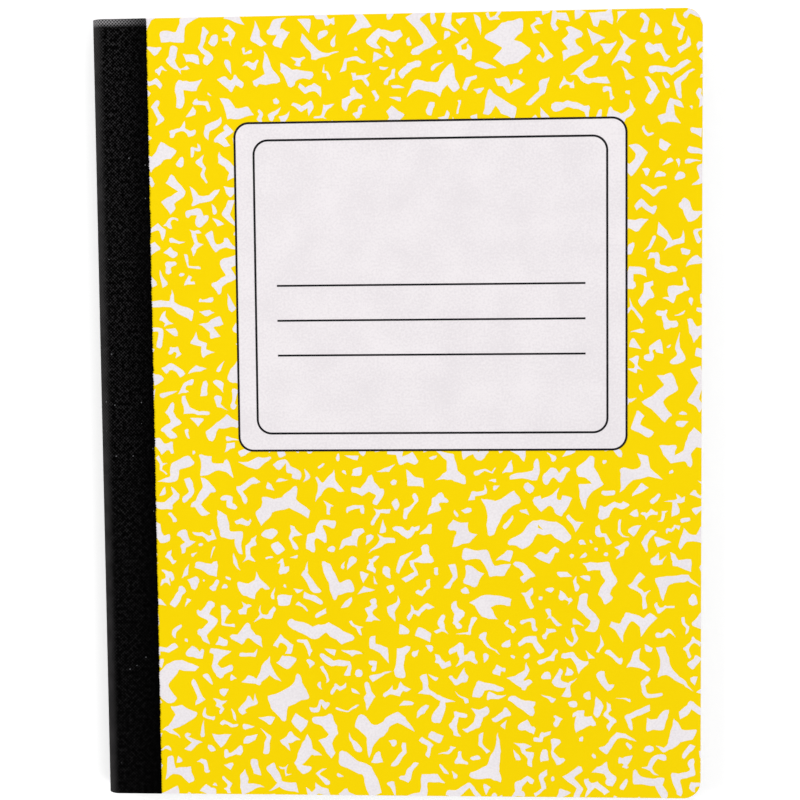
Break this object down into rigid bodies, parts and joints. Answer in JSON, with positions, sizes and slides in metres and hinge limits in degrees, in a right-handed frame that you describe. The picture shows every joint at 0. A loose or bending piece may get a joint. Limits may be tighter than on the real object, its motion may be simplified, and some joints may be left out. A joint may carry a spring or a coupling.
{
  "type": "composition notebook",
  "caption": "Closed composition notebook: sewn page block between two marbled boards with rounded corners, cloth spine tape and a framed blank label.",
  "frame": {"origin": "under the middle of the closed notebook, on the surface that it lies on", "axes": "+X from the spine to the fore-edge, +Y from the tail to the head, +Z from the back cover to the front cover"},
  "size_m": [0.1906, 0.2476, 0.0106],
  "materials": {
    "cover_board": "yellow printed pressboard, semi-matt",
    "page_paper": "uncoated white writing paper",
    "thread": "white cotton thread",
    "binding_tape": "black cloth-grained binding tape",
    "pale_print": "off-white print, semi-matt",
    "black_print": "black printed line"
  },
  "bodies": {
    "back": {"back_cover": "cover_board", "back_marbling": "pale_print"},
    "pages": {"page_block": "page_paper", "binding_thread": "thread", "spine_tape": "binding_tape"},
    "front": {"front_cover": "cover_board", "front_marbling": "pale_print", "front_label": "pale_print", "label_border": "black_print", "writing_lines": "black_print"}
  },
  "joints": [
    {"name": "back_hinge", "type": "hinge", "parent": "back", "child": "pages", "pos_m": [-0.09525, 0, 0.0053], "axis": [0, -1, 0], "range_deg": [0, 180], "deforming": ["spine_tape"]},
    {"name": "front_hinge", "type": "hinge", "parent": "pages", "child": "front", "pos_m": [-0.09525, 0, 0.0053], "axis": [0, -1, 0], "range_deg": [0, 180], "deforming": ["spine_tape"]}
  ]
}
